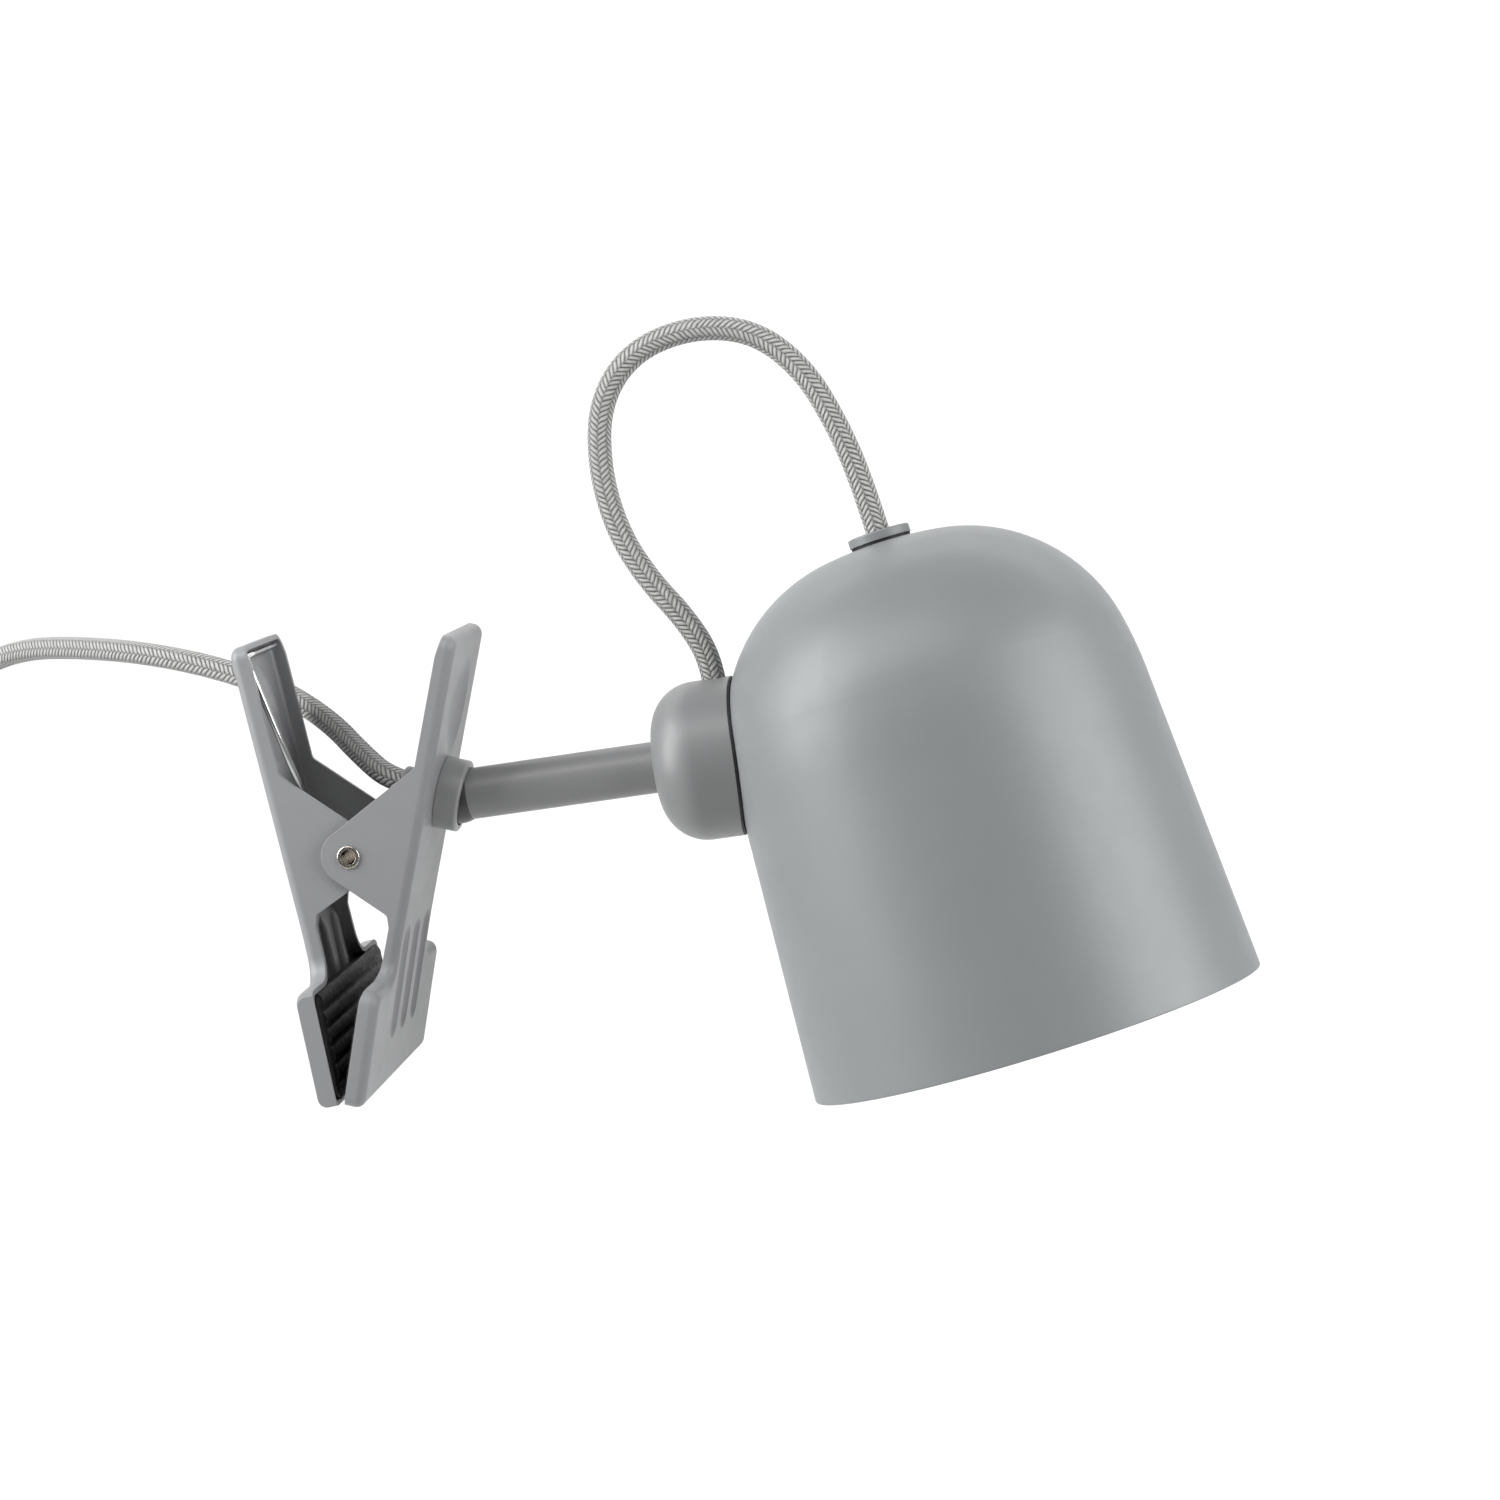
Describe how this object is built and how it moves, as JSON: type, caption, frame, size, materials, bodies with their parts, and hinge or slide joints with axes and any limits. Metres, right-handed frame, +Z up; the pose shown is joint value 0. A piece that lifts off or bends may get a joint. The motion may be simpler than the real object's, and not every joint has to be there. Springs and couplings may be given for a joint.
{
  "type": "clip-on reading lamp",
  "caption": "Clip-on lamp: sprung two-jaw clamp, short swivelling arm with a magnetic saddle knuckle, bell-shaped metal shade with a bulb, textile cord loop and mains cord.",
  "frame": {"origin": "middle of the grip, where the two rubber pads meet on the centre plane", "axes": "+X from the clamp towards the shade, +Z up along the clamp towards its handles, +Y along the jaws' hinge away from the viewer's side"},
  "size_m": [0.3692, 0.1607, 0.2584],
  "materials": {
    "grey_paint": "satin mid-grey powder coat over steel",
    "collar_metal": "satin grey coat, lip worn bright",
    "rubber_black": "matte black moulded rubber",
    "nickel": "bright nickel plate",
    "sleeve_plastic": "dark acetal sleeve",
    "spring_steel": "bright drawn spring wire",
    "ball_metal": "dark satin turned steel",
    "zinc_steel": "zinc-plated pressed steel",
    "magnet": "nickel-plated magnet",
    "gland_plastic": "dark grey moulded nylon",
    "cord_braid": "silver-grey herringbone textile braid",
    "inner_lead": "off-white heat-resistant insulation",
    "ceramic": "off-white glazed ceramic",
    "pin_brass": "bright",
    "plug_pin_metal": "nickel-plated brass",
    "plug_plastic": "black moulded plastic, fine spark texture",
    "tie_plastic": "black",
    "bulb_housing": "white lamp housing",
    "bulb_lens": "frosted lens"
  },
  "bodies": {
    "back_clamp": {"back_jaw": "grey_paint", "back_pad": "rubber_black", "pivot_rivet": "nickel", "spring_sleeve": "sleeve_plastic", "jaw_spring": "spring_steel", "mains_cord_run": "cord_braid", "mains_cord_tail": "cord_braid", "cord_coil": "cord_braid", "coil_tie": "tie_plastic", "plug_body": "plug_plastic", "plug_pin_1": "plug_pin_metal", "plug_pin_2": "plug_pin_metal"},
    "front_clamp": {"front_jaw": "grey_paint", "front_pad": "rubber_black", "mains_cord_start": "cord_braid"},
    "collar": {"swivel_collar": "collar_metal", "collar_nut": "nickel", "cord_gland": "gland_plastic"},
    "arm": {"arm_ball": "ball_metal", "arm_tube": "grey_paint", "arm_lead": "inner_lead", "arm_nut": "nickel"},
    "knuckle": {"knuckle_shell": "grey_paint", "saddle_pad": "rubber_black", "saddle_plate": "zinc_steel", "knuckle_magnet": "magnet"},
    "head": {"shade": "grey_paint", "cap_gasket": "rubber_black", "cap_disc": "grey_paint", "cap_nipple": "nickel", "nipple_nut": "nickel", "holder_bracket": "zinc_steel", "holder_screw_1": "nickel", "holder_screw_2": "nickel", "lamp_holder": "ceramic", "lead_wire_1": "inner_lead", "lead_wire_2": "inner_lead", "bulb_pin_1": "pin_brass", "bulb_pin_2": "pin_brass", "bulb_body": "bulb_housing", "bulb_lens": "bulb_lens", "loop_cord": "cord_braid"}
  },
  "joints": [
    {"name": "clamp_open", "type": "hinge", "parent": "back_clamp", "child": "front_clamp", "pos_m": [-0.0007, 0, 0.042], "axis": [0, -1, 0], "range_deg": [0, 26], "stiffness_Nm_per_rad": 0.6, "springref_deg": -68.75, "deforming": ["jaw_spring", "mains_cord_start"]},
    {"name": "collar_spin", "type": "hinge", "parent": "front_clamp", "child": "collar", "pos_m": [0.01754, 0, 0.05497], "axis": [0.9813, 0, -0.1925], "range_deg": [-170, 170]},
    {"name": "arm_tilt", "type": "hinge", "parent": "collar", "child": "arm", "pos_m": [0.02181, 0, 0.05413], "axis": [0, 1, 0], "range_deg": [0, 40]},
    {"name": "knuckle_spin", "type": "hinge", "parent": "arm", "child": "knuckle", "pos_m": [0.02181, 0, 0.05413], "axis": [0.9877, 0, 0.1564], "range_deg": [-170, 170]},
    {"name": "head_release", "type": "slide", "parent": "knuckle", "child": "head", "axis": [0.9877, 0, 0.1564], "range_m": [0, 0.015], "stiffness_N_per_m": 300, "springref_m": -0.03, "deforming": ["loop_cord"]}
  ]
}
